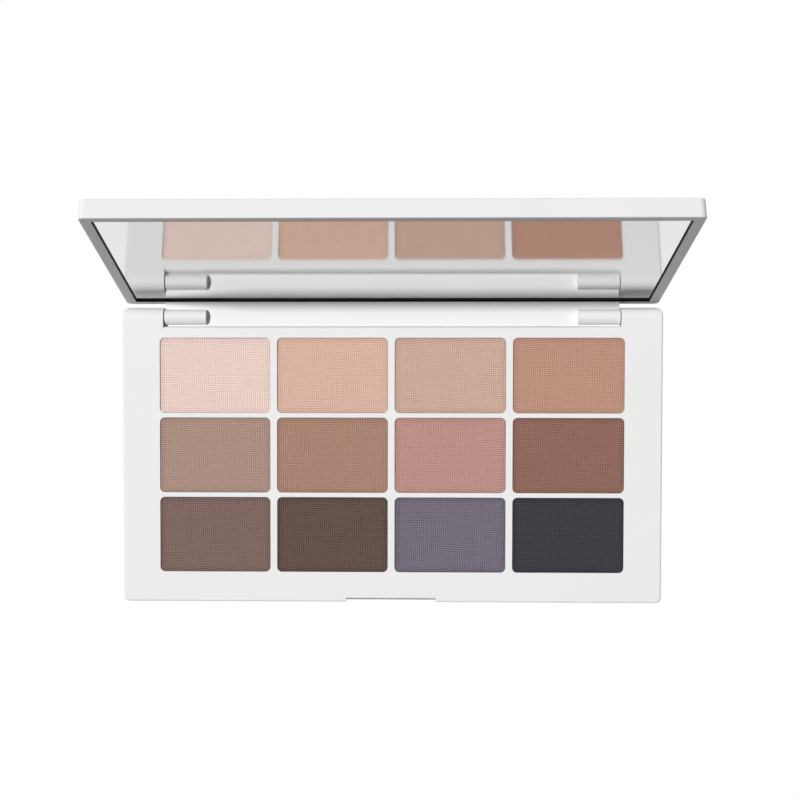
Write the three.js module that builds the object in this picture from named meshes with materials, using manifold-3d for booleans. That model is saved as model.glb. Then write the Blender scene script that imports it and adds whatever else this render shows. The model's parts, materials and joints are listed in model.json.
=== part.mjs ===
// Twelve-pan eyeshadow palette with a mirrored, hinged lid.
//
// Units are millimetres, +Z is up, +X points to the user's right and +Y to the
// back, where the hinge is.  The origin is the centre of the underside.  The lid
// is built as it lies when shut, around the hinge axis, and then turned open.

import * as THREE from 'three';
import { mergeVertices } from 'three/addons/utils/BufferGeometryUtils.js';
import Module from 'manifold-3d';

const wasm = await Module();
wasm.setup();

// ---------------------------------------------------------------- dimensions

const BASE_WIDTH = 148;
const BASE_DEPTH = 81;
const BASE_HEIGHT = 9.6;
const CORNER_RADIUS = 1.5;
const BASE_TAPER = 0.9;          // how far the side and front walls lean in at the foot
const WALL = 2.4;
const DECK_THICKNESS = 1.2;

const WINDOW_WIDTH = 30.4;       // a window in the deck, seen from above
const WINDOW_DEPTH = 20.6;
const WINDOW_RADIUS = 1.3;
const WINDOW_PITCH_X = 32.3;
const WINDOW_PITCH_Y = 21.9;
const ROWS = ['back', 'middle', 'front'];
const COLUMNS = 4;

const PAN_GAP = 0.15;            // between a pan and the well it is glued into
const PAN_WALL = 0.35;
const PAN_FLOOR = 0.4;
const PAN_HEIGHT = 3.0;
const PAN_DROP = 0.25;           // pan's lip below the deck
const POWDER_DROP = 0.35;        // powder's face below the deck
const POWDER_GAP = 0.05;
const WELL_WALL = 1.0;

const COVER_THICKNESS = 1.2;
const COVER_GAP = 0.15;

const AXIS_INSET = 2.0;          // hinge axis, in front of the back wall
const AXIS_DEPTH = 3.5;          // hinge axis, below the deck
const POCKET_HALF = 62.75;       // half the width of the hinge pocket
const POCKET_RADIUS = 3.45;      // pocket's round floor, about the hinge axis
const POCKET_FRONT = 3.2;        // pocket's front edge in the deck, in front of the axis
const BLOCK_ROUND = 3.0;         // round back edge of the corner blocks beside the pocket
const PIN_RADIUS = 0.75;
const PIN_BORE = 0.87;
const PIN_INNER = 54.5;          // the pin's two ends along X
const PIN_OUTER = 73.0;

const NOTCH_WIDTH = 24.7;        // thumb notch in the front edge
const NOTCH_DEPTH = 1.15;
const NOTCH_SLOPE = 0.65;        // the notch's face leans forward by this much
const NOTCH_SLOPE_HEIGHT = 1.8;

const LID_WIDTH = 147;
const LID_DEPTH = 81;
const LID_HEIGHT = 4.9;
const LID_GAP = 0.15;            // between the shut lid's rim and the deck
const LID_TAPER = 0.25;
const LID_OPEN = 102.7;          // degrees from shut, as the lid stands open
const RIM = 2.42;
const RIM_ROUND = 0.4;           // rounded outer edge, added to the rim's width

const MIRROR_RECESS = 0.55;
const MIRROR_THICKNESS = 1.6;
const MIRROR_GAP = 0.15;
const ADHESIVE_THICKNESS = 0.3;
const ADHESIVE_INSET = 3;

const TONGUE_HALF = 62.5;        // half the width of the lid's hinge leaf
const TONGUE_RADIUS = 3.3;       // its round end, about the hinge axis
const KNUCKLE_LENGTH = 11.5;
const KNUCKLE_RADIUS = 2.1;
const KNUCKLE_FORWARD = 0.75;    // knuckle's centre from the axis, lid shut
const KNUCKLE_DOWN = 0.78;

const MAGNET_RADIUS = 2;
const MAGNET_GAP = 0.1;
const MAGNET_X = 40;
const MAGNET_INSET = 5;          // magnet's centre behind the front wall
const BASE_MAGNET_HEIGHT = 1.6;
const LID_MAGNET_HEIGHT = 1.2;
const MAGNET_SLEEVE = 0.9;

const CORNER_STEPS = 2;          // half the number of sides on a round corner
const ARC_STEPS = 8;             // half the number of sides on a hinge arc
const ROUND_STEPS = 24;          // sides of a round bar
const MARGIN = 1;                // how far a cutter reaches past what it cuts

// ------------------------------------------------------------ derived places

const backWall = BASE_DEPTH / 2;
const frontWall = -BASE_DEPTH / 2;
const axisY = backWall - AXIS_INSET;
const axisZ = BASE_HEIGHT - AXIS_DEPTH;
const deckUnderside = BASE_HEIGHT - DECK_THICKNESS;
const wellFloor = BASE_HEIGHT - PAN_DROP - PAN_HEIGHT;
const wellBlockBottom = wellFloor - WELL_WALL;
const pocketFront = axisY - POCKET_FRONT;
const cavityBack = axisY - POCKET_RADIUS - WELL_WALL;
const cavityFront = frontWall + WALL;
const magnetY = frontWall + MAGNET_INSET;

// The shut lid, measured from the hinge axis.
const rimPlane = AXIS_DEPTH + LID_GAP;
const lidTop = rimPlane + LID_HEIGHT;
const lidBack = AXIS_INSET;
const lidFront = lidBack - LID_DEPTH;
const mirrorHalf = LID_WIDTH / 2 - RIM - RIM_ROUND;
const mirrorBack = lidBack - RIM;
const mirrorFront = lidFront + RIM + RIM_ROUND;
const glassFace = rimPlane + MIRROR_RECESS;
const glassBack = glassFace + MIRROR_THICKNESS;
const adhesiveFace = glassBack + MIRROR_GAP;
const pocketFloor = adhesiveFace + ADHESIVE_THICKNESS + MIRROR_GAP;

// ----------------------------------------------------------------- materials

const finish = (color, roughness, metalness) =>
  new THREE.MeshStandardMaterial({ color, roughness, metalness });

const whitePlastic = finish('#f2f1f0', 0.38, 0);
const tinplate = finish('#b9b7b4', 0.35, 1);
const steel = finish('#a9abae', 0.25, 1);
const nickel = finish('#c4c3bf', 0.2, 1);
const mirrorGlass = finish('#dfe3e4', 0.02, 1);
const tape = finish('#e6e3d8', 0.8, 0);

const SHADES = {
  back: ['#ead0c6', '#dbb4a2', '#cbab99', '#bd917e'],
  middle: ['#ac8f82', '#aa8473', '#bd9088', '#90685c'],
  front: ['#7f6661', '#634f49', '#746c79', '#3d3a42'],
};

// ------------------------------------------------------------ shape builders

// A closed indexed solid for joining and cutting.
function solid(geometry) {
  const bare = geometry.index ? geometry.toNonIndexed() : geometry.clone();
  bare.deleteAttribute('normal');
  bare.deleteAttribute('uv');
  const merged = mergeVertices(bare, 1e-5);
  return new wasm.Manifold(new wasm.Mesh({
    numProp: 3,
    vertProperties: new Float32Array(merged.attributes.position.array),
    triVerts: new Uint32Array(merged.index.array),
  }));
}

// Back from a solid to a geometry with flat faces.
function geometryOf(manifold) {
  const mesh = manifold.getMesh();
  const geometry = new THREE.BufferGeometry();
  geometry.setAttribute('position', new THREE.BufferAttribute(mesh.vertProperties, 3));
  geometry.setIndex(new THREE.BufferAttribute(mesh.triVerts, 1));
  const flat = geometry.toNonIndexed();
  flat.computeVertexNormals();
  return flat;
}

// A rectangle with round corners, centred on the origin.
function roundedRectangle(width, depth, radius) {
  const x = width / 2 - radius;
  const y = depth / 2 - radius;
  const shape = new THREE.Shape();
  shape.absarc(x, y, radius, 0, Math.PI / 2);
  shape.absarc(-x, y, radius, Math.PI / 2, Math.PI);
  shape.absarc(-x, -y, radius, Math.PI, 1.5 * Math.PI);
  shape.absarc(x, -y, radius, 1.5 * Math.PI, 2 * Math.PI);
  shape.closePath();
  return shape;
}

// A flat shape raised from z = bottom to z = top.
function slab(shape, bottom, top) {
  const options = { depth: top - bottom, bevelEnabled: false, curveSegments: CORNER_STEPS };
  return new THREE.ExtrudeGeometry(shape, options).translate(0, 0, bottom);
}

// A shape drawn in the YZ plane, drawn out along X from start to end.
function drawnAlongX(shape, start, end) {
  const options = { depth: end - start, bevelEnabled: false, curveSegments: ARC_STEPS };
  const turn = new THREE.Matrix4().makeBasis(
    new THREE.Vector3(0, 1, 0),
    new THREE.Vector3(0, 0, 1),
    new THREE.Vector3(1, 0, 0),
  );
  return new THREE.ExtrudeGeometry(shape, options).applyMatrix4(turn).translate(start, 0, 0);
}

function boxBetween(low, high) {
  const size = high.map((value, i) => value - low[i]);
  const middle = high.map((value, i) => (value + low[i]) / 2);
  return new THREE.BoxGeometry(...size).translate(...middle);
}

// A round bar lying along X.
function barAlongX(radius, start, end, y, z) {
  const bar = new THREE.CylinderGeometry(radius, radius, end - start, ROUND_STEPS);
  return bar.rotateZ(Math.PI / 2).translate((start + end) / 2, y, z);
}

// A round bar standing along Z.
function disc(radius, bottom, top, x, y) {
  const bar = new THREE.CylinderGeometry(radius, radius, top - bottom, ROUND_STEPS);
  return bar.rotateX(Math.PI / 2).translate(x, y, (bottom + top) / 2);
}

// Leans the walls in, from nothing at z = wide to all of it at z = narrow: the
// side walls and the front wall by `inset`, and the back wall by `backInset`.
function lean(geometry, wide, narrow, inset, backInset) {
  const points = geometry.attributes.position;
  for (let i = 0; i < points.count; i += 1) {
    const share = (points.getZ(i) - wide) / (narrow - wide);
    const x = points.getX(i);
    const y = points.getY(i);
    points.setX(i, x - Math.sign(x) * inset * share);
    points.setY(i, y > 0 ? y - backInset * share : y + inset * share);
  }
  return geometry;
}

// The centre of one pan's window.
function windowCentre(row, column) {
  return {
    x: (column - (COLUMNS - 1) / 2) * WINDOW_PITCH_X,
    y: (1 - row) * WINDOW_PITCH_Y,
  };
}

// Calls back once for each pan, with its row, column, window centre and name.
function forEachPan(make) {
  ROWS.forEach((rowName, row) => {
    for (let column = 0; column < COLUMNS; column += 1) {
      make({ rowName, column, ...windowCentre(row, column), name: `${rowName}_${column + 1}` });
    }
  });
}

// ---------------------------------------------------------------------- base

function baseHousing() {
  const outline = roundedRectangle(BASE_WIDTH, BASE_DEPTH, CORNER_RADIUS);
  let body = solid(lean(slab(outline, 0, BASE_HEIGHT), BASE_HEIGHT, 0, BASE_TAPER, 0));
  const cut = (geometry) => { body = body.subtract(solid(geometry)); };
  const join = (geometry) => { body = body.add(solid(geometry)); };

  // Hollow underneath, closed later by the cover.
  const cavityHalf = BASE_WIDTH / 2 - WALL;
  cut(boxBetween([-cavityHalf, cavityFront, -MARGIN], [cavityHalf, cavityBack, deckUnderside]));

  // One block of wells, and a sleeve for each closure magnet.
  const blockHalf = (COLUMNS - 1) / 2 * WINDOW_PITCH_X + WINDOW_WIDTH / 2 + WELL_WALL;
  const blockDeep = WINDOW_PITCH_Y + WINDOW_DEPTH / 2 + WELL_WALL;
  join(boxBetween([-blockHalf, -blockDeep, wellBlockBottom], [blockHalf, blockDeep, BASE_HEIGHT]));
  const sleeveBottom = deckUnderside - MAGNET_GAP - BASE_MAGNET_HEIGHT;
  [-MAGNET_X, MAGNET_X].forEach((x) => {
    join(disc(MAGNET_RADIUS + MAGNET_SLEEVE, sleeveBottom, BASE_HEIGHT, x, magnetY));
    cut(disc(MAGNET_RADIUS + MAGNET_GAP, sleeveBottom - MARGIN, deckUnderside, x, magnetY));
  });

  // The wells, open at the deck.
  const opening = roundedRectangle(WINDOW_WIDTH, WINDOW_DEPTH, WINDOW_RADIUS);
  forEachPan(({ x, y }) => {
    cut(slab(opening, wellFloor, BASE_HEIGHT + MARGIN).translate(x, y, 0));
  });

  // The hinge pocket, open at the back and at the deck, with a round floor.  The
  // deck's edge reaches a little over the floor's front.  The floor ends in an
  // edge on the back wall, which stops the open lid.
  const pocket = new THREE.Shape();
  const frontAngle = Math.acos(POCKET_FRONT / POCKET_RADIUS);
  const edgeAngle = Math.acos(AXIS_INSET / POCKET_RADIUS);
  pocket.moveTo(pocketFront, BASE_HEIGHT + MARGIN);
  pocket.lineTo(pocketFront, axisZ + POCKET_RADIUS * Math.sin(frontAngle));
  pocket.absarc(
    axisY, axisZ, POCKET_RADIUS, Math.PI - frontAngle, 2 * Math.PI - edgeAngle);
  pocket.lineTo(backWall + MARGIN, axisZ - POCKET_RADIUS * Math.sin(edgeAngle));
  pocket.lineTo(backWall + MARGIN, BASE_HEIGHT + MARGIN);
  cut(drawnAlongX(pocket, -POCKET_HALF, POCKET_HALF));

  // The corner blocks' back edge is a quarter round, which leaves the lid's rim
  // room to swing past it.
  const round = new THREE.Shape();
  const roundY = backWall - BLOCK_ROUND;
  const roundZ = BASE_HEIGHT - BLOCK_ROUND;
  round.moveTo(roundY, BASE_HEIGHT + MARGIN);
  round.lineTo(roundY, BASE_HEIGHT);
  round.absarc(roundY, roundZ, BLOCK_ROUND, Math.PI / 2, 0, true);
  round.lineTo(backWall + MARGIN, roundZ);
  round.lineTo(backWall + MARGIN, BASE_HEIGHT + MARGIN);
  cut(drawnAlongX(round, -BASE_WIDTH, BASE_WIDTH));

  // Pin bores, from the side walls into the pocket.
  const outside = BASE_WIDTH / 2 + MARGIN;
  const bore = barAlongX(PIN_BORE, POCKET_HALF - MARGIN, outside, axisY, axisZ);
  cut(bore);
  cut(bore.clone().rotateZ(Math.PI).translate(0, 2 * axisY, 0));

  // The thumb notch: a short sloped face under the deck, then straight down.
  const notch = new THREE.Shape();
  const notchFace = frontWall + NOTCH_DEPTH;
  notch.moveTo(frontWall - MARGIN, BASE_HEIGHT + MARGIN);
  notch.lineTo(notchFace, BASE_HEIGHT + MARGIN);
  notch.lineTo(notchFace, BASE_HEIGHT);
  notch.lineTo(notchFace - NOTCH_SLOPE, BASE_HEIGHT - NOTCH_SLOPE_HEIGHT);
  notch.lineTo(notchFace - NOTCH_SLOPE, -MARGIN);
  notch.lineTo(frontWall - MARGIN, -MARGIN);
  cut(drawnAlongX(notch, -NOTCH_WIDTH / 2, NOTCH_WIDTH / 2));

  return geometryOf(body);
}

// The plate that closes the housing from below, flush with its walls.
function bottomCover() {
  const half = BASE_WIDTH / 2 - WALL - COVER_GAP;
  const low = [-half, cavityFront + COVER_GAP, 0];
  return boxBetween(low, [half, cavityBack - COVER_GAP, COVER_THICKNESS]);
}

// A shallow pressed tray.
function panTray() {
  const width = WINDOW_WIDTH - 2 * PAN_GAP;
  const depth = WINDOW_DEPTH - 2 * PAN_GAP;
  const radius = WINDOW_RADIUS - PAN_GAP;
  const outside = roundedRectangle(width, depth, radius);
  const inside = roundedRectangle(width - 2 * PAN_WALL, depth - 2 * PAN_WALL, radius - PAN_WALL);
  const hollow = slab(inside, PAN_FLOOR, PAN_HEIGHT + MARGIN);
  return geometryOf(solid(slab(outside, 0, PAN_HEIGHT)).subtract(solid(hollow)));
}

function powderCake() {
  const inset = PAN_GAP + PAN_WALL + POWDER_GAP;
  const width = WINDOW_WIDTH - 2 * inset;
  const depth = WINDOW_DEPTH - 2 * inset;
  const top = PAN_HEIGHT + PAN_DROP - POWDER_DROP;
  return slab(roundedRectangle(width, depth, WINDOW_RADIUS - inset), PAN_FLOOR, top);
}

// ----------------------------------------------------------------------- lid

function lidShell() {
  const outline = roundedRectangle(LID_WIDTH, LID_DEPTH, CORNER_RADIUS);
  const middle = (lidBack + lidFront) / 2;
  const block = lean(slab(outline, rimPlane, lidTop), rimPlane, lidTop, LID_TAPER, LID_TAPER);
  let body = solid(block.translate(0, middle, 0));

  // The recess for the mirror, and two seats for magnets in its floor.
  const low = [-mirrorHalf, mirrorFront, rimPlane - MARGIN];
  body = body.subtract(solid(boxBetween(low, [mirrorHalf, mirrorBack, pocketFloor])));
  [-MAGNET_X, MAGNET_X].forEach((x) => {
    const top = pocketFloor + LID_MAGNET_HEIGHT + MAGNET_GAP;
    const seat = disc(MAGNET_RADIUS + MAGNET_GAP, pocketFloor - MARGIN, top, x, magnetY - axisY);
    body = body.subtract(solid(seat));
  });

  // The hinge leaf: the back rim carried on downwards, with a round end.
  const leaf = new THREE.Shape();
  const outerMeet = Math.acos(lidBack / TONGUE_RADIUS);
  const innerMeet = Math.acos(mirrorBack / TONGUE_RADIUS);
  leaf.moveTo(lidBack, rimPlane + MARGIN);
  leaf.lineTo(mirrorBack, rimPlane + MARGIN);
  leaf.absarc(0, 0, TONGUE_RADIUS, 2 * Math.PI - innerMeet, 2 * Math.PI - outerMeet);
  leaf.closePath();
  body = body.add(solid(drawnAlongX(leaf, -TONGUE_HALF, TONGUE_HALF)));

  // A solid knuckle at each end of the leaf, with a blind bore for its pin.
  [-1, 1].forEach((side) => {
    const span = (near, far) => (side < 0 ? [-far, -near] : [near, far]);
    const knuckle = span(TONGUE_HALF - KNUCKLE_LENGTH, TONGUE_HALF);
    body = body.add(solid(
      barAlongX(KNUCKLE_RADIUS, ...knuckle, -KNUCKLE_FORWARD, -KNUCKLE_DOWN)));
    const bore = span(PIN_INNER - MARGIN / 2, TONGUE_HALF + MARGIN);
    body = body.subtract(solid(barAlongX(PIN_BORE, ...bore, 0, 0)));
  });
  return geometryOf(body);
}

function mirrorPlate() {
  const low = [-mirrorHalf + MIRROR_GAP, mirrorFront + MIRROR_GAP, glassFace];
  return boxBetween(low, [mirrorHalf - MIRROR_GAP, mirrorBack - MIRROR_GAP, glassBack]);
}

function mirrorAdhesive() {
  const low = [-mirrorHalf + ADHESIVE_INSET, mirrorFront + ADHESIVE_INSET, adhesiveFace];
  const high = [mirrorHalf - ADHESIVE_INSET, mirrorBack - ADHESIVE_INSET,
    adhesiveFace + ADHESIVE_THICKNESS];
  return boxBetween(low, high);
}

// ------------------------------------------------------------------ assembly

const palette = new THREE.Group();
const lid = new THREE.Group();
lid.position.set(0, axisY, axisZ);
lid.rotation.x = -THREE.MathUtils.degToRad(LID_OPEN);
palette.add(lid);

function place(parent, name, geometry, material, x = 0, y = 0, z = 0) {
  const mesh = new THREE.Mesh(geometry, material);
  mesh.name = name;
  mesh.position.set(x, y, z);
  parent.add(mesh);
}

place(palette, 'base_housing', baseHousing(), whitePlastic);
place(palette, 'bottom_cover', bottomCover(), whitePlastic);
forEachPan(({ rowName, column, x, y, name }) => {
  const powder = finish(SHADES[rowName][column], 0.95, 0);
  place(palette, `pan_${name}`, panTray(), tinplate, x, y, wellFloor);
  place(palette, `powder_${name}`, powderCake(), powder, x, y, wellFloor);
});

place(lid, 'lid_shell', lidShell(), whitePlastic);
place(lid, 'mirror', mirrorPlate(), mirrorGlass);
place(lid, 'mirror_adhesive', mirrorAdhesive(), tape);

[['left', -1], ['right', 1]].forEach(([hand, side]) => {
  const middle = side * (PIN_INNER + PIN_OUTER) / 2;
  const half = (PIN_OUTER - PIN_INNER) / 2;
  const pin = barAlongX(PIN_RADIUS, -half, half, 0, 0);
  place(palette, `hinge_pin_${hand}`, pin, steel, middle, axisY, axisZ);

  const x = side * MAGNET_X;
  const baseTop = deckUnderside - MAGNET_GAP;
  const baseMagnet = disc(MAGNET_RADIUS, baseTop - BASE_MAGNET_HEIGHT, baseTop, 0, 0);
  place(palette, `base_magnet_${hand}`, baseMagnet, nickel, x, magnetY);
  const lidMagnet = disc(MAGNET_RADIUS, pocketFloor, pocketFloor + LID_MAGNET_HEIGHT, 0, 0);
  place(lid, `lid_magnet_${hand}`, lidMagnet, nickel, x, magnetY - axisY);
});

export default palette;
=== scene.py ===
"""Looks for the twelve-pan eyeshadow palette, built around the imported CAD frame.

Everything is in metres in the CAD frame.  Lid pieces are shaped as the lid lies
when shut, measured from the hinge axis, and then turned open with it.
"""
import json
import math

import bmesh
import bpy
from mathutils import Euler, Matrix, Vector, noise


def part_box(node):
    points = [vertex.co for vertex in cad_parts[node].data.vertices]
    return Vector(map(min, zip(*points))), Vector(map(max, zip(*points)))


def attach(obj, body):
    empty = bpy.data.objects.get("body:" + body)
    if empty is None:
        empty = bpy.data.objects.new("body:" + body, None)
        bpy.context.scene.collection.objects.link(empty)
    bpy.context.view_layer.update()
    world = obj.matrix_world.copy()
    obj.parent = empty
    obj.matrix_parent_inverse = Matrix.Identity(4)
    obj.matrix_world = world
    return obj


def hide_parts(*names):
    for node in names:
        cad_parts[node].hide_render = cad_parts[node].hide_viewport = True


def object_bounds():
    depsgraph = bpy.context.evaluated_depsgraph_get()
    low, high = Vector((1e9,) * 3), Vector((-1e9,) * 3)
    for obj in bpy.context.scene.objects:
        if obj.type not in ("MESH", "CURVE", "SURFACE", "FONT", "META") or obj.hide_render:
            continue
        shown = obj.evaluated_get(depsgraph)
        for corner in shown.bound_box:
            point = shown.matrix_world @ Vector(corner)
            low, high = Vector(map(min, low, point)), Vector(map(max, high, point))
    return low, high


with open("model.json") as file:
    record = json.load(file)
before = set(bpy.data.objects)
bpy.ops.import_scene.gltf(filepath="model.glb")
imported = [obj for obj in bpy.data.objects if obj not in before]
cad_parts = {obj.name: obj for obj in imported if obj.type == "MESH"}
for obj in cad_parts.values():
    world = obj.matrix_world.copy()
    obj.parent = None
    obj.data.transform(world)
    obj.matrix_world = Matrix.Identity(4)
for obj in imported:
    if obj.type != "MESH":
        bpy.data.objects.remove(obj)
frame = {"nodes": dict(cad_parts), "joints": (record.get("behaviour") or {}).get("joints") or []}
cad_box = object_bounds()

MM = 0.001
TINY = 0.02 * MM                 # places nearer than this count as the same

# ------------------------------------------------------------------ the frame

hinge = frame["joints"][0]
axis_point = Vector(hinge["pos_m"])
opened = math.radians(hinge["range_deg"][0])
base_frame = Matrix.Identity(4)
lid_frame = Matrix.Translation(axis_point) @ Matrix.Rotation(opened, 4, "X")

deck_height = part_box("base_housing")[1].z
ROWS = ("back", "middle", "front")
COLUMNS = (1, 2, 3, 4)


def box_in(node, matrix):
    """The lowest and highest corners of a CAD node, measured in another frame."""
    inverse = matrix.inverted()
    points = [inverse @ vertex.co for vertex in frame["nodes"][node].data.vertices]
    low = Vector([min(point[i] for point in points) for i in range(3)])
    high = Vector([max(point[i] for point in points) for i in range(3)])
    return low, high


def middle_and_half(low, high):
    """The middle of a box, and half its size each way."""
    return (low + high) / 2, (high - low) / 2


# --------------------------------------------------------------- mesh helpers

WELD = 0.001 * MM                # CAD vertices nearer than this are joined
FLAT_ANGLE = 0.5                 # degrees: faces that meet at less become one
SHARP_ANGLE = 28                 # degrees: a CAD edge that is sharper is rounded
SMOOTH_ANGLE = 30                # degrees: shading is smooth up to this
WIDEST_ROUND = 1.2 * MM          # what a bevel weight of 1 stands for
ROUND_SEGMENTS = 4


def piece_from(mesh, name, body, slot, *nodes):
    """An object from a bmesh, riding on a body and standing for some CAD nodes."""
    data = bpy.data.meshes.new(name)
    mesh.to_mesh(data)
    mesh.free()
    piece = bpy.data.objects.new(name, data)
    bpy.context.scene.collection.objects.link(piece)
    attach(piece, body)
    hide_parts(*nodes)
    return piece


def corner_ring(half_x, half_y, radius, steps):
    """A rectangle with round corners, as points anticlockwise from +X."""
    ring = []
    for quarter in range(4):
        side_x = 1 if quarter in (0, 3) else -1
        side_y = 1 if quarter in (0, 1) else -1
        for step in range(steps + 1):
            angle = math.pi / 2 * (quarter + step / steps)
            x = (half_x - radius) * side_x + radius * math.cos(angle)
            y = (half_y - radius) * side_y + radius * math.sin(angle)
            ring.append((x, y))
    return ring


def join_rings(mesh, rings, hollow):
    """Walls between rings of points, closed by a floor and a top or into a loop."""
    following = rings[1:] + rings[:1] if hollow else rings[1:]
    for lower, upper in zip(rings, following):
        count = len(lower)
        for i in range(count):
            j = (i + 1) % count
            mesh.faces.new((lower[i], lower[j], upper[j], upper[i]))
    if not hollow:
        mesh.faces.new(list(reversed(rings[0])))
        mesh.faces.new(rings[-1])


def rounded_stack(half_x, half_y, radius, profile, matrix, steps=6, hollow=False):
    """A closed solid from rings stacked along a profile of (inset, height) points.

    A hollow one is a frame: its profile runs once round the frame's section.
    """
    mesh = bmesh.new()
    rings = []
    for inset, height in profile:
        outline = corner_ring(
            half_x - inset, half_y - inset, max(radius - inset, TINY), steps)
        rings.append([mesh.verts.new(matrix @ Vector((x, y, height))) for x, y in outline])
    join_rings(mesh, rings, hollow)
    return mesh


def arc(centre, radius, start, end, steps):
    """Points of an arc in a profile, with its angles in degrees."""
    points = []
    for step in range(steps + 1):
        angle = math.radians(start + (end - start) * step / steps)
        points.append((centre[0] + radius * math.cos(angle),
                       centre[1] + radius * math.sin(angle)))
    return points


def turned(profile, matrix, steps=48):
    """A closed solid turned about Z from a profile of (radius, height) points."""
    mesh = bmesh.new()
    rings = []
    for radius, height in profile:
        ring = []
        for i in range(steps):
            angle = 2 * math.pi * i / steps
            point = Vector((radius * math.cos(angle), radius * math.sin(angle), height))
            ring.append(mesh.verts.new(matrix @ point))
        rings.append(ring)
    join_rings(mesh, rings, False)
    return mesh


def rounded_copy(node, round_of, matrix):
    """A clean copy of a CAD node, with its sharp edges marked for add_rounds.

    round_of takes an edge's two ends, in the given frame, and says its radius.
    """
    mesh = bmesh.new()
    mesh.from_mesh(frame["nodes"][node].data)
    bmesh.ops.remove_doubles(mesh, verts=mesh.verts, dist=WELD)
    bmesh.ops.dissolve_limit(
        mesh, angle_limit=math.radians(FLAT_ANGLE), verts=mesh.verts, edges=mesh.edges)
    weight = mesh.edges.layers.float.new("bevel_weight_edge")
    inverse = matrix.inverted()
    sharp = math.radians(SHARP_ANGLE)
    for edge in mesh.edges:
        if not edge.is_manifold or edge.calc_face_angle(0) < sharp:
            continue
        radius = round_of(*(inverse @ vertex.co for vertex in edge.verts))
        edge[weight] = radius / WIDEST_ROUND
    return mesh


def add_rounds(piece, clamp):
    """Rounds the marked edges.  A clamp makes every round as small as the tightest."""
    bevel = piece.modifiers.new("rounds", "BEVEL")
    bevel.limit_method = "WEIGHT"
    bevel.width = WIDEST_ROUND
    bevel.segments = ROUND_SEGMENTS
    bevel.use_clamp_overlap = clamp
    bevel.miter_outer = "MITER_ARC"


def smooth(piece, angle=SMOOTH_ANGLE):
    """Smooth shading, broken at edges over the angle that add_rounds leaves alone."""
    mesh = bmesh.new()
    mesh.from_mesh(piece.data)
    weight = mesh.edges.layers.float.get("bevel_weight_edge")
    limit = math.radians(angle)
    for face in mesh.faces:
        face.smooth = True
    for edge in mesh.edges:
        rounded = weight is not None and edge[weight] > 0
        edge.smooth = rounded or (edge.is_manifold and edge.calc_face_angle(0) < limit)
    mesh.to_mesh(piece.data)
    mesh.free()
    weighted = piece.modifiers.new("even_normals", "WEIGHTED_NORMAL")
    weighted.keep_sharp = True
    weighted.weight = 100


def paint(thing, material):
    """Gives an object one material."""
    thing.data.materials.clear()
    thing.data.materials.append(material)


# ------------------------------------------------------------------ materials

def new_material(name):
    """A node material, with its nodes, its links and its main shader."""
    made = bpy.data.materials.new(name)
    made.use_nodes = True
    nodes = made.node_tree.nodes
    return made, nodes, made.node_tree.links, nodes["Principled BSDF"]


def noise_node(nodes, links, scale, detail=2.0):
    """Noise over the piece's own coordinates, with features 1 / scale metres wide."""
    place = nodes.new("ShaderNodeTexCoord")
    made = nodes.new("ShaderNodeTexNoise")
    made.inputs["Scale"].default_value = scale
    made.inputs["Detail"].default_value = detail
    links.new(place.outputs["Object"], made.inputs["Vector"])
    return made.outputs["Fac"]


def mix_colours(nodes, links, factor, low, high):
    """A colour between two, by a 0 to 1 value."""
    mix = nodes.new("ShaderNodeMix")
    mix.data_type = "RGBA"
    mix.inputs["A"].default_value = (*low, 1)
    mix.inputs["B"].default_value = (*high, 1)
    links.new(factor, mix.inputs["Factor"])
    return mix.outputs["Result"]


def add_tint(nodes, links, shader, factor, low, high):
    """Gives a shader a base colour between two, by a 0 to 1 value."""
    links.new(mix_colours(nodes, links, factor, low, high), shader.inputs["Base Color"])


def spread(nodes, links, source, low, high):
    """Maps a 0 to 1 value to a range."""
    made = nodes.new("ShaderNodeMapRange")
    made.inputs["To Min"].default_value = low
    made.inputs["To Max"].default_value = high
    links.new(source, made.inputs["Value"])
    return made.outputs["Result"]


def add_roughness(nodes, links, shader, source, low, high):
    """Gives a shader a roughness that varies over a range."""
    links.new(spread(nodes, links, source, low, high), shader.inputs["Roughness"])


def add_bump(nodes, links, shader, height, distance):
    """Raises a shader's surface by up to a distance, by a 0 to 1 value."""
    bump = nodes.new("ShaderNodeBump")
    bump.inputs["Distance"].default_value = distance
    bump.inputs["Strength"].default_value = 1.0
    links.new(height, bump.inputs["Height"])
    links.new(bump.outputs["Normal"], shader.inputs["Normal"])


def shaded(colour, factor):
    """A colour made lighter or darker."""
    return tuple(channel * factor for channel in colour)


def white_plastic():
    """Satin white moulded plastic: a faint flow mottle and a fine spark-eroded grain."""
    made, nodes, links, shader = new_material("white_plastic")
    mottle = noise_node(nodes, links, 60, 3)
    add_tint(nodes, links, shader, mottle, (0.84, 0.838, 0.835), (0.87, 0.868, 0.866))
    grain = noise_node(nodes, links, 5000, 2)
    add_roughness(nodes, links, shader, grain, 0.42, 0.54)
    shader.inputs["Specular IOR Level"].default_value = 0.2
    add_bump(nodes, links, shader, grain, 0.004 * MM)
    return made


def metal(name, colour, rough, streak):
    """Bare metal with fine streaks along X, streak being how much they change it."""
    made, nodes, links, shader = new_material(name)
    shader.inputs["Metallic"].default_value = 1.0
    place = nodes.new("ShaderNodeTexCoord")
    stretch = nodes.new("ShaderNodeMapping")
    stretch.inputs["Scale"].default_value = (300, 6000, 6000)
    links.new(place.outputs["Object"], stretch.inputs["Vector"])
    streaks = nodes.new("ShaderNodeTexNoise")
    streaks.inputs["Scale"].default_value = 1.0
    links.new(stretch.outputs["Vector"], streaks.inputs["Vector"])
    lines = streaks.outputs["Fac"]
    add_tint(nodes, links, shader, lines, shaded(colour, 1 - streak), shaded(colour, 1 + streak))
    add_roughness(nodes, links, shader, lines, rough * 0.8, rough * 1.3)
    add_bump(nodes, links, shader, lines, 0.002 * MM)
    return made


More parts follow.
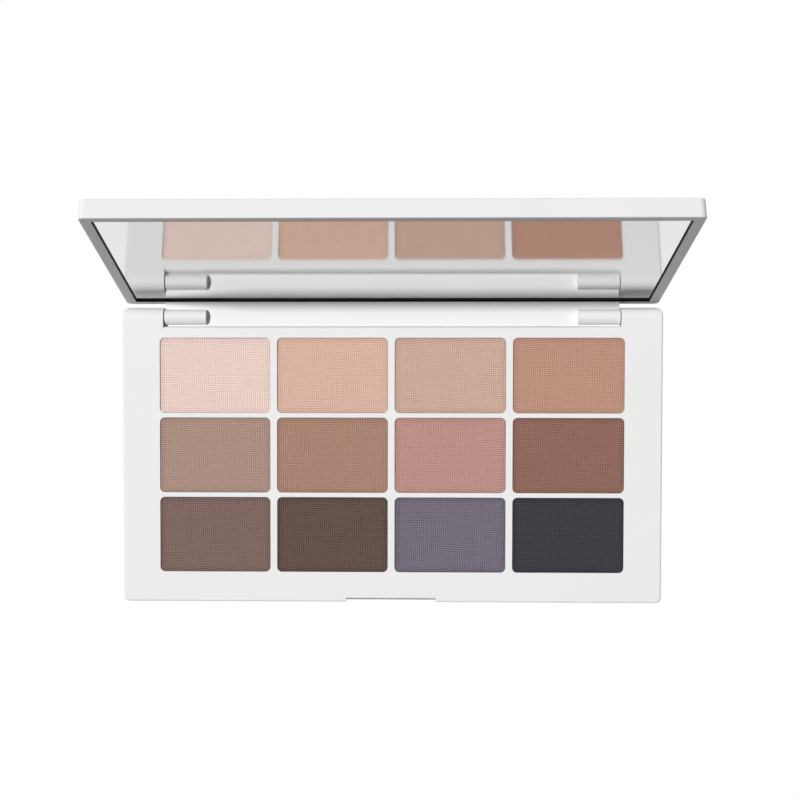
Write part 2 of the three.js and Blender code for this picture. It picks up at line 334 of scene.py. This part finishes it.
def mirror_glass():
    """Silvered glass: bright, with a faint haze."""
    made, nodes, links, shader = new_material("mirror_glass")
    shader.inputs["Metallic"].default_value = 1.0
    haze = noise_node(nodes, links, 40, 2)
    add_tint(nodes, links, shader, haze, (0.735, 0.739, 0.737), (0.755, 0.758, 0.757))
    add_roughness(nodes, links, shader, haze, 0.065, 0.08)
    return made


def painted_gap_shade():
    """Near-black painted shade for the shadowed gap round the mirror's glass, with a faint
    speckle.
    """
    made, nodes, links, shader = new_material("painted_gap_shade")
    shade_speckle = noise_node(nodes, links, 3000, 2)
    add_tint(nodes, links, shader, shade_speckle, (0.002, 0.002, 0.002), (0.006, 0.007, 0.007))
    shader.inputs["Roughness"].default_value = 0.5
    shader.inputs["Specular IOR Level"].default_value = 0.1
    add_bump(nodes, links, shader, shade_speckle, 0.004 * MM)
    return made


def foam_tape():
    """Cream double-sided foam tape with open cells."""
    made, nodes, links, shader = new_material("foam_tape")
    cells = noise_node(nodes, links, 2500, 3)
    add_tint(nodes, links, shader, cells, (0.7, 0.67, 0.6), (0.84, 0.81, 0.74))
    shader.inputs["Roughness"].default_value = 0.85
    add_bump(nodes, links, shader, cells, 0.05 * MM)
    return made


POWDER_CONTRAST = 0.36           # painted shade and highlight of the weave, in a colour of brightness 1
CONTRAST_POWER = 0.45            # how fast it grows as the shade gets darker
MOST_CONTRAST = 0.9
HOLLOW_SHADE_SHARE = 1.1
RIDGE_HIGHLIGHT_SHARE = 0.9


def powder(name, colour):
    """Pressed powder: painted shade in the weave's hollows and painted highlight on its ridges,
    with fine grains and slow mottling.

    A dark colour shows this painted shading more strongly, for its brightness, than a pale one.
    """
    made, nodes, links, shader = new_material(name)
    relief = nodes.new("ShaderNodeAttribute")
    relief.attribute_name = "relief"
    depth = min(POWDER_CONTRAST / max(colour) ** CONTRAST_POWER, MOST_CONTRAST)
    # Painted shade in the hollows and painted highlight on the tops, by the relief attribute
    hollow = shaded(colour, 1 - HOLLOW_SHADE_SHARE * depth)
    ridge = shaded(colour, 1 + RIDGE_HIGHLIGHT_SHARE * depth)
    weave = mix_colours(nodes, links, relief.outputs["Fac"], hollow, ridge)
    grains = noise_node(nodes, links, 4500, 2)
    mottle = noise_node(nodes, links, 180, 2)
    both = nodes.new("ShaderNodeMath")
    both.operation = "MULTIPLY"
    links.new(spread(nodes, links, grains, 0.86, 1.14), both.inputs[0])
    links.new(spread(nodes, links, mottle, 0.97, 1.03), both.inputs[1])
    scaled = nodes.new("ShaderNodeVectorMath")
    scaled.operation = "SCALE"
    links.new(weave, scaled.inputs[0])
    links.new(both.outputs["Value"], scaled.inputs["Scale"])
    links.new(scaled.outputs["Vector"], shader.inputs["Base Color"])
    shader.inputs["Roughness"].default_value = 0.9
    shader.inputs["Specular IOR Level"].default_value = 0.25
    add_bump(nodes, links, shader, grains, 0.015 * MM)
    return made


def linear(red, green, blue):
    """A colour given in sRGB, 0 to 255, as linear light."""
    def channel(value):
        value /= 255
        return value / 12.92 if value <= 0.04045 else ((value + 0.055) / 1.055) ** 2.4
    return tuple(channel(value) for value in (red, green, blue))


SHADES = {
    "back": (
        ("pale_pink", (234, 208, 198)),
        ("peach", (219, 180, 162)),
        ("sand", (203, 171, 153)),
        ("terracotta", (189, 145, 126)),
    ),
    "middle": (
        ("taupe", (172, 143, 130)),
        ("tan", (170, 132, 115)),
        ("rose", (189, 144, 136)),
        ("brick", (144, 104, 92)),
    ),
    "front": (
        ("mauve_brown", (127, 102, 97)),
        ("dark_brown", (99, 79, 73)),
        ("slate_violet", (116, 108, 121)),
        ("blue_black", (61, 58, 66)),
    ),
}

plastic = white_plastic()
tinplate = metal("tinplate", (0.5, 0.48, 0.46), 0.35, 0.1)
steel = metal("steel", (0.55, 0.56, 0.57), 0.25, 0.1)
nickel = metal("magnet_nickel", (0.6, 0.59, 0.56), 0.2, 0.05)


# ----------------------------------------------------------------- the powder

WEAVE = 0.56 * MM                # from one thread to the next
WEAVE_HEIGHT = 0.04 * MM
GRID_STEP = WEAVE / 4
THREAD_STRENGTH = 0.62           # a thread's mean strength, and its changes
PATCH_CHANGE = 0.8
SLUB_CHANGE = 0.7
WEAKEST = 0.12
STRONGEST = 1.2
PATCH_ACROSS = 0.1               # how fast the changes come, for each thread's width
PATCH_ALONG = 0.13
SLUB_ALONG = 0.2
THREAD_APART = 7.3               # gives each thread slubs of its own
THREAD_DRIFT = 0.7               # how many threads' width a thread wanders by
DRIFT_SHORT = 4 * MM
DRIFT_LONG = 7 * MM
MEAN_RELIEF = 0.55
RELIEF_SWING = 0.75

CAKE_RADIUS = 1.25 * MM
CAKE_ROUND = 0.08 * MM
CAKE_GROWTH = 0.5 * MM           # beyond the CAD cake, out over the tray's lip
FACE_DROP = 0.015 * MM           # sets the weave's tops about level with the CAD face
WAVE_HEIGHT = 0.03 * MM          # slow unevenness of the pressed face
WAVE_LENGTH = 5 * MM
RIM_BAND = 0.22 * MM             # unprinted line along the cake's edge, darkened there as painted shade
RIM_SHADE_RELIEF = 0.3
EDGE_SHADE_BAND = 1.6 * MM             # painted shade: slightly darker powder colour inside that line
EDGE_SHADE_DEPTH = 0.16
BRIM_DEPTH = 0.15 * MM           # thickness of the powder that lies on the lip
BRIM_WIDTH = 0.6 * MM


def thread(across, along, seed):
    """One set of threads, about its mean height: stronger and fainter along its length."""
    number = math.floor(across)
    patch = noise.noise(Vector((across * PATCH_ACROSS, along * PATCH_ALONG, seed)))
    slub = noise.noise(Vector((number * THREAD_APART, along * SLUB_ALONG, seed + 5)))
    strength = THREAD_STRENGTH + PATCH_CHANGE * patch + SLUB_CHANGE * slub
    strength = min(max(strength, WEAKEST), STRONGEST)
    return (abs(math.sin(math.pi * across)) - 2 / math.pi) * strength


def weave_height(x, y, seed):
    """The pressed linen print at a point, from about 0 in its hollows to about 1.

    What is added to the seed keeps each noise apart from the others.
    """
    warp_drift = noise.noise(Vector((x / DRIFT_SHORT, y / DRIFT_LONG, seed)))
    weft_drift = noise.noise(Vector((x / DRIFT_LONG, y / DRIFT_SHORT, seed + 60)))
    across = x / WEAVE + THREAD_DRIFT * warp_drift
    down = y / WEAVE + THREAD_DRIFT * weft_drift
    warp = thread(across, down, seed + 20)
    weft = thread(down, across, seed + 40)
    return MEAN_RELIEF + RELIEF_SWING * (warp + weft)


def round_corner(x, y, half_x, half_y, radius):
    """Moves a point of a rectangular grid so that the grid's corners are round."""
    u = (abs(x) - (half_x - radius)) / radius
    v = (abs(y) - (half_y - radius)) / radius
    if u <= 0 or v <= 0:
        return x, y
    new_u = u * math.sqrt(1 - v * v / 2)
    new_v = v * math.sqrt(1 - u * u / 2)
    return (math.copysign(half_x - radius + radius * new_u, x),
            math.copysign(half_y - radius + radius * new_v, y))


def cake_face(mesh, centre, top, half_x, half_y, seed):
    """The cake's printed face, as a grid of vertices that carry its relief."""
    relief = mesh.verts.layers.float.new("relief")
    count_x = round(2 * half_x / GRID_STEP)
    count_y = round(2 * half_y / GRID_STEP)
    grid = []
    for i in range(count_x + 1):
        column = []
        for j in range(count_y + 1):
            x, y = round_corner(
                half_x * (2 * i / count_x - 1), half_y * (2 * j / count_y - 1),
                half_x, half_y, CAKE_RADIUS)
            inside = min(half_x - abs(x), half_y - abs(y))
            height = weave_height(x, y, seed)
            fade = min(inside / RIM_BAND, 1)
            band = EDGE_SHADE_DEPTH * max(1 - inside / EDGE_SHADE_BAND, 0)
            drop = CAKE_ROUND * max(1 - inside / (2 * CAKE_ROUND), 0) ** 2
            wave = WAVE_HEIGHT * noise.noise(
                Vector((x / WAVE_LENGTH, y / WAVE_LENGTH, seed + 3)))
            z = top - drop + WEAVE_HEIGHT * (height - 1) * fade + wave * fade - FACE_DROP
            vertex = mesh.verts.new((centre.x + x, centre.y + y, z))
            # Painted shade: a lower relief makes the colour darker along the cake's edge and
            # just inside it
            vertex[relief] = max(height - band, 0) * fade + RIM_SHADE_RELIEF * (1 - fade)
            column.append(vertex)
        grid.append(column)
    for i in range(count_x):
        for j in range(count_y):
            mesh.faces.new((grid[i][j], grid[i + 1][j], grid[i + 1][j + 1], grid[i][j + 1]))
    return grid


def outline_of(grid):
    """A grid's outer vertices, once round."""
    last_x = len(grid) - 1
    last_y = len(grid[0]) - 1
    return ([grid[i][0] for i in range(last_x)]
            + [grid[last_x][j] for j in range(last_y)]
            + [grid[i][last_y] for i in range(last_x, 0, -1)]
            + [grid[0][j] for j in range(last_y, 0, -1)])


def powder_cake(node, seed):
    """A pressed cake: a printed face, a brim over the tray's lip, and a body below."""
    low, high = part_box(node)
    centre = (low + high) / 2
    half_x = (high.x - low.x) / 2 + CAKE_GROWTH
    half_y = (high.y - low.y) / 2 + CAKE_GROWTH
    mesh = bmesh.new()
    edge = outline_of(cake_face(mesh, centre, high.z, half_x, half_y, seed))
    brim = high.z - BRIM_DEPTH
    inner = 1 - BRIM_WIDTH / half_y
    for share, z in ((1, brim), (inner, brim), (inner, low.z)):
        lower = []
        for vertex in edge:
            x = centre.x + (vertex.co.x - centre.x) * share
            y = centre.y + (vertex.co.y - centre.y) * share
            lower.append(mesh.verts.new((x, y, z)))
        for i in range(len(edge)):
            j = (i + 1) % len(edge)
            mesh.faces.new((edge[j], edge[i], lower[i], lower[j]))
        edge = lower
    mesh.faces.new(list(reversed(edge)))
    return mesh


def make_powders():
    """The twelve cakes, each in its own shade."""
    for row_index, row in enumerate(ROWS):
        for column in COLUMNS:
            name, colour = SHADES[row][column - 1]
            node = f"powder_{row}_{column}"
            mesh = powder_cake(node, 10 * row_index + column)
            cake = piece_from(mesh, f"cake_{row}_{column}", "base", f"powder_{name}", node)
            smooth(cake, 60)
            paint(cake, powder(f"powder_{name}", linear(*colour)))


# ------------------------------------------------------------------- the pans

PAN_WALL = 0.35 * MM
PAN_FLOOR = 0.4 * MM
PAN_RADIUS = 1.15 * MM
PAN_LIP = PAN_WALL / 2
PAN_HEEL = 0.5 * MM              # round at the foot of the pan's wall


def make_pans():
    """Pressed trays with a rounded lip and a rounded heel."""
    for row in ROWS:
        for column in COLUMNS:
            node = f"pan_{row}_{column}"
            low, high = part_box(node)
            centre, half = middle_and_half(low, high)
            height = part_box(f"powder_{row}_{column}")[1].z - BRIM_DEPTH - TINY - low.z
            heel = arc((0, PAN_HEEL), PAN_HEEL, 270, 360, 5)
            lip = arc((0, height - PAN_LIP), PAN_LIP, 0, 180, 8)
            profile = [(PAN_HEEL - x, y) for x, y in heel]
            profile += [(PAN_LIP - x, y) for x, y in lip]
            profile += [(PAN_WALL, PAN_FLOOR)]
            place = Matrix.Translation((centre.x, centre.y, low.z))
            mesh = rounded_stack(half.x, half.y, PAN_RADIUS, profile, place)
            pan = piece_from(mesh, f"tray_{row}_{column}", "base", "tinplate", node)
            smooth(pan)
            paint(pan, tinplate)


# ------------------------------------------------------------------- the base

EDGE_ROUND = 0.55 * MM           # outer edge of the deck and of the corner blocks
NOTCH_ROUND = 0.15 * MM
POCKET_ROUND = 1.1 * MM          # deck's back edge, in front of the hinge pocket
SLOT_ROUND = 0.12 * MM           # edges beside the hinge leaf and inside the pocket
WINDOW_ROUND = 0.12 * MM
FOOT_ROUND = 0.3 * MM

EDGE_BAND = 1.6 * MM             # an outer edge is nearer than this to the outside
POCKET_REACH = 3.5 * MM          # from the hinge axis forward, past the pocket
NOTCH_HALF = 12.5 * MM           # half the thumb notch, and a little more
BLOCK_BACK = 3 * MM              # height of the corner blocks' round back
FOOT_BAND = 1 * MM               # edges lower than this belong to the foot


def make_housing():
    """The base's shell, with the deck's edges and window edges softened."""
    low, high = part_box("base_housing")

    def round_of(a, b):
        middle = (a + b) / 2
        on_deck = min(a.z, b.z) > high.z - TINY
        at_side = abs(middle.x) > high.x - EDGE_BAND
        at_front = middle.y < low.y + EDGE_BAND
        behind_deck = middle.y > axis_point.y - POCKET_REACH
        if on_deck and behind_deck and not at_side:
            return SLOT_ROUND if abs(a.x - b.x) < TINY else POCKET_ROUND
        if at_front and abs(middle.x) < NOTCH_HALF:
            return NOTCH_ROUND
        if on_deck and (at_side or at_front):
            return EDGE_ROUND
        if on_deck:
            return WINDOW_ROUND
        if behind_deck and at_side and middle.z > deck_height - BLOCK_BACK:
            return EDGE_ROUND
        if behind_deck and middle.z > low.z + FOOT_BAND:
            return SLOT_ROUND
        if max(a.z, b.z) < TINY:
            return FOOT_ROUND
        return 0

    mesh = rounded_copy("base_housing", round_of, base_frame)
    housing = piece_from(mesh, "housing", "base", "white_plastic", "base_housing")
    add_rounds(housing, False)
    smooth(housing, SHARP_ANGLE)
    paint(housing, plastic)


# -------------------------------------------------------------------- the lid

LID_GAP = 0.15 * MM              # between the shut lid's rim and the deck
LID_EDGE_BAND = 0.8 * MM         # an outer edge is nearer than this to the outside
RIM_ROUND = 0.4 * MM             # outer edge of the rim
RECESS_ROUND = 0.15 * MM         # inner edge of the rim, round the mirror
LID_BACK_ROUND = 0.5 * MM        # edge of the lid's outer face
LEAF_ROUND = 0.15 * MM           # edges of the hinge leaf and its knuckles

GLASS_RADIUS = 0.4 * MM
GLASS_BEVEL = 0.2 * MM
DARK_REACH = 0.13 * MM           # painted shade ring's outside, beyond the glass
DARK_WIDTH = 0.08 * MM
DARK_HEIGHT = 0.52 * MM          # how far it stands in front of the glass


def make_lid_shell():
    """The lid's casing and hinge leaf, with their edges softened."""
    low, high = box_in("lid_shell", lid_frame)
    rim_plane = deck_height - axis_point.z + LID_GAP

    def round_of(a, b):
        middle = (a + b) / 2
        on_rim = abs(a.z - rim_plane) < TINY and abs(b.z - rim_plane) < TINY
        at_side = abs(middle.x) > high.x - LID_EDGE_BAND
        at_free_edge = middle.y < low.y + LID_EDGE_BAND
        if on_rim and (at_side or at_free_edge):
            return RIM_ROUND
        if on_rim:
            return RECESS_ROUND
        if min(a.z, b.z) > high.z - TINY:
            return LID_BACK_ROUND
        if max(a.z, b.z) < rim_plane + TINY:
            return LEAF_ROUND
        return 0

    mesh = rounded_copy("lid_shell", round_of, lid_frame)
    shell = piece_from(mesh, "lid_casing", "lid", "white_plastic", "lid_shell")
    add_rounds(shell, True)
    smooth(shell, SHARP_ANGLE)
    paint(shell, plastic)


def make_mirror():
    """A sheet of silvered glass with ground edges."""
    low, high = box_in("mirror", lid_frame)
    centre, half = middle_and_half(low, high)
    thick = high.z - low.z
    profile = [(GLASS_BEVEL, 0), (0, GLASS_BEVEL)]
    profile += [(0, thick - GLASS_BEVEL), (GLASS_BEVEL, thick)]
    place = lid_frame @ Matrix.Translation((centre.x, centre.y, low.z))
    mesh = rounded_stack(half.x, half.y, GLASS_RADIUS, profile, place)
    glass = piece_from(mesh, "mirror_plate", "lid", "mirror_glass", "mirror")
    smooth(glass)
    paint(glass, mirror_glass())


def make_mirror_gap_shade():
    """A thin near-black frame on the recess's wall round the glass: painted shade for the
    shadowed gap.
    """
    low, high = box_in("mirror", lid_frame)
    centre, half = middle_and_half(low, high)
    profile = [(0, 0), (DARK_WIDTH, 0), (DARK_WIDTH, DARK_HEIGHT), (0, DARK_HEIGHT)]
    place = lid_frame @ Matrix.Translation((centre.x, centre.y, low.z - DARK_HEIGHT))
    mesh = rounded_stack(
        half.x + DARK_REACH, half.y + DARK_REACH, GLASS_RADIUS, profile, place, hollow=True)
    bmesh.ops.recalc_face_normals(mesh, faces=mesh.faces)
    edge = piece_from(mesh, "mirror_gap_shade", "lid", "mirror_glass")
    smooth(edge)
    paint(edge, painted_gap_shade())


# ---------------------------------------------------------------- inner pieces

COVER_RADIUS = 0.6 * MM
COVER_ROUND = 0.25 * MM
COVER_BORDER = 4 * MM            # flat border round the cover's sunk field
COVER_SUNK = 0.2 * MM
TAPE_RADIUS = 2 * MM
TAPE_BULGE = 0.08 * MM
PIN_ROUND = 0.15 * MM
MAGNET_ROUND = 0.2 * MM


def make_bottom_cover():
    """The plate under the housing, with a softened edge and a shallow sunk field."""
    low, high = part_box("bottom_cover")
    centre, half = middle_and_half(low, high)
    profile = [(COVER_BORDER + COVER_SUNK, COVER_SUNK), (COVER_BORDER, 0)]
    rounded = arc((0, COVER_ROUND), COVER_ROUND, 270, 360, 4)
    profile += [(COVER_ROUND - x, y) for x, y in rounded]
    profile += [(0, high.z - low.z)]
    place = Matrix.Translation((centre.x, centre.y, low.z))
    mesh = rounded_stack(half.x, half.y, COVER_RADIUS, profile, place)
    cover = piece_from(mesh, "cover_plate", "base", "white_plastic", "bottom_cover")
    smooth(cover)
    paint(cover, plastic)


def make_adhesive():
    """The foam tape behind the mirror, bulging a little at its edges."""
    low, high = box_in("mirror_adhesive", lid_frame)
    centre, half = middle_and_half(low, high)
    thick = high.z - low.z
    profile = [(TAPE_BULGE, 0), (0, thick / 3), (0, 2 * thick / 3), (TAPE_BULGE, thick)]
    place = lid_frame @ Matrix.Translation((centre.x, centre.y, low.z))
    mesh = rounded_stack(half.x, half.y, TAPE_RADIUS, profile, place)
    sheet = piece_from(mesh, "tape_sheet", "lid", "foam_tape", "mirror_adhesive")
    smooth(sheet)
    paint(sheet, foam_tape())


def round_bar_profile(radius, length, edge):
    """A bar's profile from end to end, with rounded edges."""
    profile = [(radius - edge + x, edge + y) for x, y in arc((0, 0), edge, 270, 360, 4)]
    profile += [(radius - edge + x, length - edge + y) for x, y in arc((0, 0), edge, 0, 90, 4)]
    return profile


def make_pin(hand):
    """One hinge pin, lying along X."""
    node = f"hinge_pin_{hand}"
    low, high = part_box(node)
    lying = Matrix.Rotation(math.radians(90), 4, "Y")
    place = Matrix.Translation((low.x, (low.y + high.y) / 2, (low.z + high.z) / 2)) @ lying
    profile = round_bar_profile((high.z - low.z) / 2, high.x - low.x, PIN_ROUND)
    pin = piece_from(turned(profile, place), f"pin_{hand}", "base", "steel", node)
    smooth(pin)
    paint(pin, steel)


def make_magnet(body, hand, matrix):
    """One closure magnet, standing in the base or in the lid."""
    node = f"{body}_magnet_{hand}"
    low, high = box_in(node, matrix)
    centre = (low + high) / 2
    place = matrix @ Matrix.Translation((centre.x, centre.y, low.z))
    profile = round_bar_profile((high.x - low.x) / 2, high.z - low.z, MAGNET_ROUND)
    magnet = piece_from(
        turned(profile, place), f"magnet_{body}_{hand}", body, "magnet_nickel", node)
    smooth(magnet)
    paint(magnet, nickel)


def make_pins_and_magnets():
    """The small metal pieces at the left and at the right."""
    for hand in ("left", "right"):
        make_pin(hand)
        make_magnet("base", hand, base_frame)
        make_magnet("lid", hand, lid_frame)


# ---------------------------------------------------------------------- stage

CAMERA_PLACE = (0.00164, 0.02749, 0.50438)
CAMERA_TURN = (-2.558, 1.845, 0.023)       # degrees about X, Y and Z
LENS = 81.2
SHIFT = (0.0759, 0.0447)
NEAREST = 0.01                             # where the camera starts to see
SKY_STRENGTH = 0.1
KEY_ENERGY = 3.08
KEY_SIZE = 3.2                             # degrees across
KEY_FROM = (-0.45, 0.24, 1)
FLOOR_REACH = 3.0
FLOOR_GAP = 0.1 * MM                       # between the two floors
WHITE = (1, 1, 1, 1)


def make_camera():
    """The camera, looking almost straight down at the open palette."""
    data = bpy.data.cameras.new("camera")
    camera = bpy.data.objects.new("camera", data)
    bpy.context.scene.collection.objects.link(camera)
    bpy.context.scene.camera = camera
    data.lens = LENS
    data.shift_x = SHIFT[0]
    data.shift_y = SHIFT[1]
    data.clip_start = NEAREST
    camera.location = CAMERA_PLACE
    camera.rotation_euler = Euler([math.radians(angle) for angle in CAMERA_TURN])


def key_light():
    """A distant soft light from high up, to the left and a little to the back."""
    data = bpy.data.lights.new("key", "SUN")
    data.energy = KEY_ENERGY
    data.angle = math.radians(KEY_SIZE)
    light = bpy.data.objects.new("key", data)
    light.rotation_euler = Vector(KEY_FROM).to_track_quat("Z", "Y").to_euler()
    bpy.context.scene.collection.objects.link(light)


def stage_plane(name, height, material):
    """A square floor at a height."""
    mesh = bmesh.new()
    corners = [mesh.verts.new((x * FLOOR_REACH, y * FLOOR_REACH, height))
               for x, y in ((-1, -1), (1, -1), (1, 1), (-1, 1))]
    mesh.faces.new(corners)
    data = bpy.data.meshes.new(name)
    mesh.to_mesh(data)
    mesh.free()
    plane = bpy.data.objects.new(name, data)
    bpy.context.scene.collection.objects.link(plane)
    plane.data.materials.append(material)
    return plane


def make_floor():
    """A pale floor that looks evenly white, over one that bounces light back up.

    The white one shows to the camera and in the mirror, and lights nothing.
    """
    made, nodes, links, _ = new_material("floor")
    glow = nodes.new("ShaderNodeEmission")
    glow.inputs["Color"].default_value = WHITE
    glow.inputs["Strength"].default_value = 1.0
    links.new(glow.outputs["Emission"], nodes["Material Output"].inputs["Surface"])
    made.cycles.emission_sampling = "NONE"
    floor = stage_plane("floor", cad_box[0].z, made)
    floor.visible_diffuse = False
    floor.visible_shadow = False

    made, _, _, shader = new_material("floor_bounce")
    shader.inputs["Base Color"].default_value = (0.5, 0.5, 0.5, 1)
    shader.inputs["Roughness"].default_value = 0.9
    bounce = stage_plane("floor_bounce", cad_box[0].z - FLOOR_GAP, made)
    bounce.visible_camera = False
    bounce.visible_glossy = False


def make_world():
    """A weak even light from everywhere."""
    world = bpy.data.worlds.new("world")
    bpy.context.scene.world = world
    world.use_nodes = True
    back = world.node_tree.nodes["Background"]
    back.inputs["Color"].default_value = WHITE
    back.inputs["Strength"].default_value = SKY_STRENGTH


make_camera()
make_world()
make_floor()
key_light()

make_powders()
make_pans()
make_housing()
make_lid_shell()
make_mirror()
make_mirror_gap_shade()
make_bottom_cover()
make_adhesive()
make_pins_and_magnets()

bpy.context.scene.view_settings.view_transform = "Standard"
